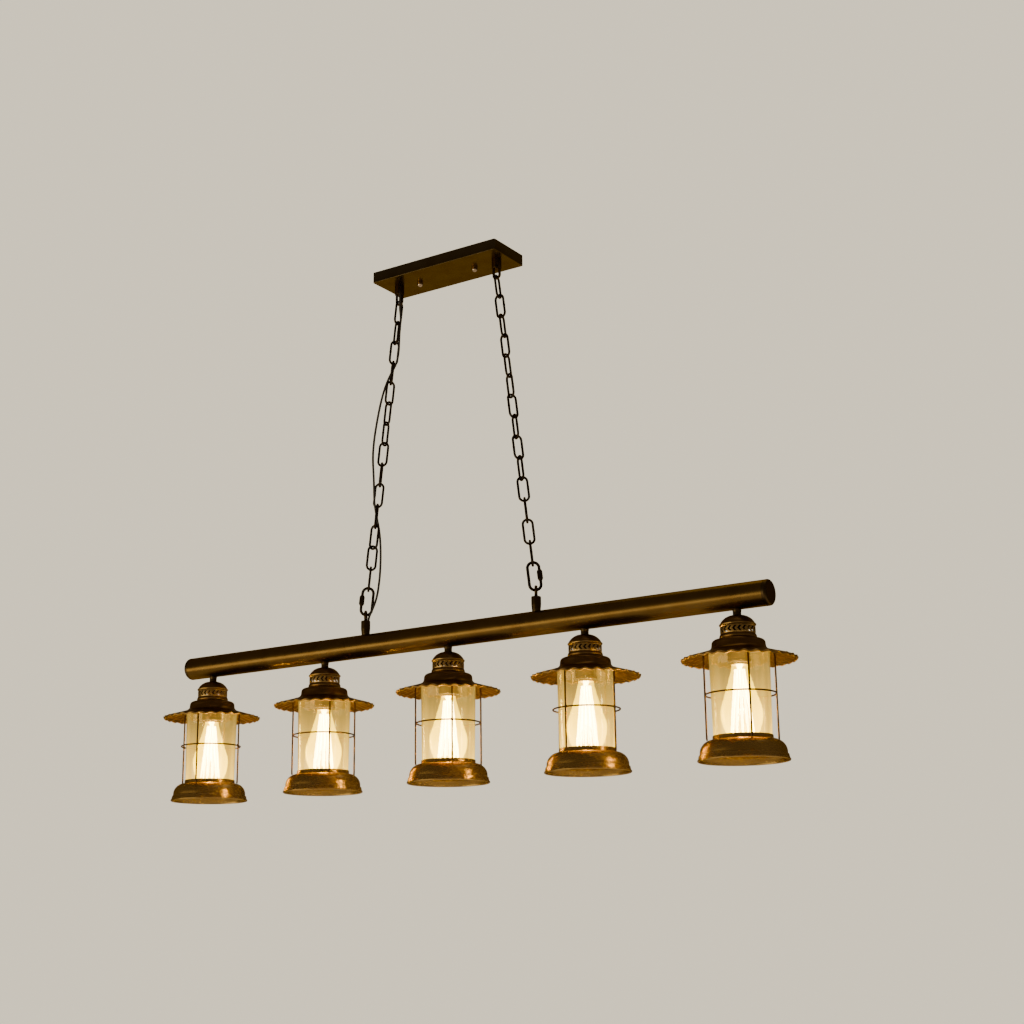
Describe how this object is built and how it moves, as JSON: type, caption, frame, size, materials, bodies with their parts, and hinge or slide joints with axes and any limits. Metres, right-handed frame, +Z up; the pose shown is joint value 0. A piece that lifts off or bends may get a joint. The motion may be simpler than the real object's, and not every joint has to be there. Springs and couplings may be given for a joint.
{
  "type": "linear lantern pendant light",
  "caption": "Ceiling pendant light: a row of caged glass lanterns with flared hoods under a round bar, hung on two link chains from a flat canopy.",
  "frame": {"origin": "middle of the canopy on the ceiling plane, between the two ceiling screws", "axes": "+X along the bar towards the end without the cord, +Y away from the side the cord hole faces, +Z up into the ceiling"},
  "size_m": [1.255, 0.175, 0.9304],
  "materials": {
    "dark_bronze": "satin antique bronze plating",
    "red_bronze": "satin red bronze plating, worn at the edges",
    "aged_brass": "brushed antique brass",
    "polished_brass": "polished",
    "zinc_steel": "zinc plated",
    "chain_iron": "dark bronze plating",
    "cage_wire": "dark bronze plating",
    "cord_sheath": "smooth flexible sheath",
    "wire_insulation": "smooth",
    "terminal_plastic": "moulded",
    "socket_phenolic": "moulded",
    "clear_glass": "clear blown glass",
    "bulb_glass": "clear glass over a glowing filament, metal screw cap"
  },
  "bodies": {
    "canopy": {"canopy_cover": "dark_bronze", "mounting_bracket": "zinc_steel", "bracket_studs": "zinc_steel", "cap_nuts": "polished_brass", "canopy_loops": "dark_bronze", "loop_nuts": "zinc_steel", "terminal_block": "terminal_plastic", "supply_wiring": "wire_insulation", "power_cord_collar": "cord_sheath"},
    "left_top_link": {"left_top_link": "chain_iron", "power_cord_top": "cord_sheath"},
    "left_chain": {"left_chain": "chain_iron", "power_cord": "cord_sheath"},
    "left_quick_link": {"left_quick_link": "chain_iron", "power_cord_link": "cord_sheath"},
    "left_sleeve": {"left_link_sleeve": "chain_iron"},
    "right_top_link": {"right_top_link": "chain_iron"},
    "right_chain": {"right_chain": "chain_iron"},
    "right_quick_link": {"right_quick_link": "chain_iron"},
    "right_sleeve": {"right_link_sleeve": "chain_iron"},
    "bar": {"bar_tube": "dark_bronze", "bar_end_caps": "dark_bronze", "bar_hangers": "dark_bronze", "bar_nuts": "zinc_steel", "bar_wiring": "wire_insulation", "lantern_stems": "dark_bronze", "lamp_sockets": "socket_phenolic", "power_cord_tail": "cord_sheath", "lantern_1_vent_cap": "red_bronze", "lantern_1_hood": "red_bronze", "lantern_1_cage": "cage_wire", "lantern_1_glass": "clear_glass", "lantern_1_base": "aged_brass", "lantern_2_vent_cap": "red_bronze", "lantern_2_hood": "red_bronze", "lantern_2_cage": "cage_wire", "lantern_2_glass": "clear_glass", "lantern_2_base": "aged_brass", "lantern_3_vent_cap": "red_bronze", "lantern_3_hood": "red_bronze", "lantern_3_cage": "cage_wire", "lantern_3_glass": "clear_glass", "lantern_3_base": "aged_brass", "lantern_4_vent_cap": "red_bronze", "lantern_4_hood": "red_bronze", "lantern_4_cage": "cage_wire", "lantern_4_glass": "clear_glass", "lantern_4_base": "aged_brass", "lantern_5_vent_cap": "red_bronze", "lantern_5_hood": "red_bronze", "lantern_5_cage": "cage_wire", "lantern_5_glass": "clear_glass", "lantern_5_base": "aged_brass"},
    "bulb_1": {"lantern_1_bulb": "bulb_glass"},
    "bulb_2": {"lantern_2_bulb": "bulb_glass"},
    "bulb_3": {"lantern_3_bulb": "bulb_glass"},
    "bulb_4": {"lantern_4_bulb": "bulb_glass"},
    "bulb_5": {"lantern_5_bulb": "bulb_glass"}
  },
  "joints": [
    {"name": "swing", "type": "hinge", "parent": "canopy", "child": "left_top_link", "pos_m": [-0.1073, 0, -0.053], "axis": [1, 0, 0], "range_deg": [-15, 15]},
    {"name": "swing_right", "type": "hinge", "parent": "canopy", "child": "right_top_link", "pos_m": [0.1073, 0, -0.053], "axis": [1, 0, 0], "range_deg": [-15, 15]},
    {"name": "sway", "type": "hinge", "parent": "left_top_link", "child": "left_chain", "pos_m": [-0.11197, 0, -0.09048], "axis": [0, 1, 0], "range_deg": [-6, 6]},
    {"name": "sway_right", "type": "hinge", "parent": "right_top_link", "child": "right_chain", "pos_m": [0.11197, 0, -0.09048], "axis": [0, 1, 0], "range_deg": [-6, 6]},
    {"name": "level_left", "type": "hinge", "parent": "left_chain", "child": "left_quick_link", "pos_m": [-0.17319, 0, -0.58163], "axis": [0, 1, 0], "range_deg": [-4, 4]},
    {"name": "level_right", "type": "hinge", "parent": "right_chain", "child": "right_quick_link", "pos_m": [0.17319, 0, -0.58163], "axis": [0, 1, 0], "range_deg": [-4, 4]},
    {"name": "rock", "type": "hinge", "parent": "left_quick_link", "child": "bar", "pos_m": [-0.1785, 0, -0.6242], "axis": [1, 0, 0], "range_deg": [-10, 10]},
    {"name": "left_sleeve_travel", "type": "slide", "parent": "left_quick_link", "child": "left_sleeve", "axis": [-0.1237, 0, -0.9923], "range_m": [0, 0.0051]},
    {"name": "right_sleeve_travel", "type": "slide", "parent": "right_quick_link", "child": "right_sleeve", "axis": [0.1237, 0, -0.9923], "range_m": [0, 0.0051]},
    {"name": "bulb_1_turn", "type": "hinge", "parent": "bar", "child": "bulb_1", "pos_m": [-0.54, 0, -0.864], "axis": [0, 0, -1], "range_deg": [0, 1080]},
    {"name": "bulb_2_turn", "type": "hinge", "parent": "bar", "child": "bulb_2", "pos_m": [-0.27, 0, -0.864], "axis": [0, 0, -1], "range_deg": [0, 1080]},
    {"name": "bulb_3_turn", "type": "hinge", "parent": "bar", "child": "bulb_3", "pos_m": [0, 0, -0.864], "axis": [0, 0, -1], "range_deg": [0, 1080]},
    {"name": "bulb_4_turn", "type": "hinge", "parent": "bar", "child": "bulb_4", "pos_m": [0.27, 0, -0.864], "axis": [0, 0, -1], "range_deg": [0, 1080]},
    {"name": "bulb_5_turn", "type": "hinge", "parent": "bar", "child": "bulb_5", "pos_m": [0.54, 0, -0.864], "axis": [0, 0, -1], "range_deg": [0, 1080]}
  ],
  "couplings": [
    {"joint": "swing_right", "follows": "swing", "ratio": 1},
    {"joint": "sway_right", "follows": "sway", "ratio": 1},
    {"joint": "level_left", "follows": "sway", "ratio": -0.6465},
    {"joint": "level_right", "follows": "sway", "ratio": -0.6465}
  ]
}
